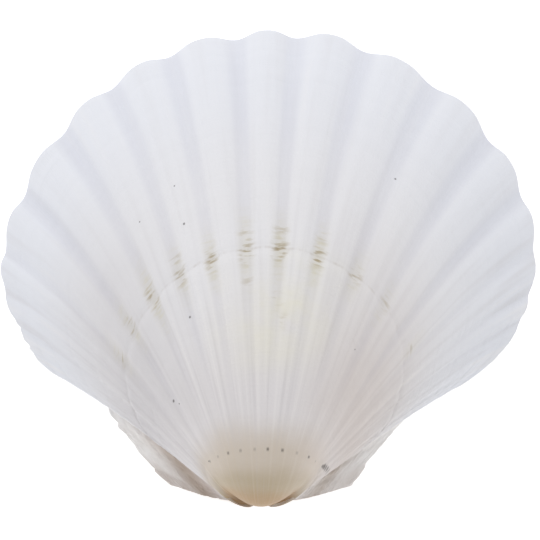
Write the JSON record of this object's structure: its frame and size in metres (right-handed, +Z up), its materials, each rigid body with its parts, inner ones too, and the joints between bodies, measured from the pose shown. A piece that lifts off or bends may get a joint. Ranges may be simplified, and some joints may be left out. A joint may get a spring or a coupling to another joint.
{
  "type": "scallop shell",
  "caption": "Single cupped scallop valve with broad radiating ribs, a wavy edge, small worn ears and a curled beak, lying hollow side down.",
  "frame": {"origin": "under the middle of the shell's outline, on the surface it lies on", "axes": "+X across the shell's width, +Y from the beak towards the fan's outer edge, +Z up through the crown"},
  "size_m": [0.1188, 0.109, 0.0337],
  "materials": {
    "shell": "satin, chalky white shell"
  },
  "bodies": {
    "root": {"shell_valve": "shell"}
  },
  "joints": []
}
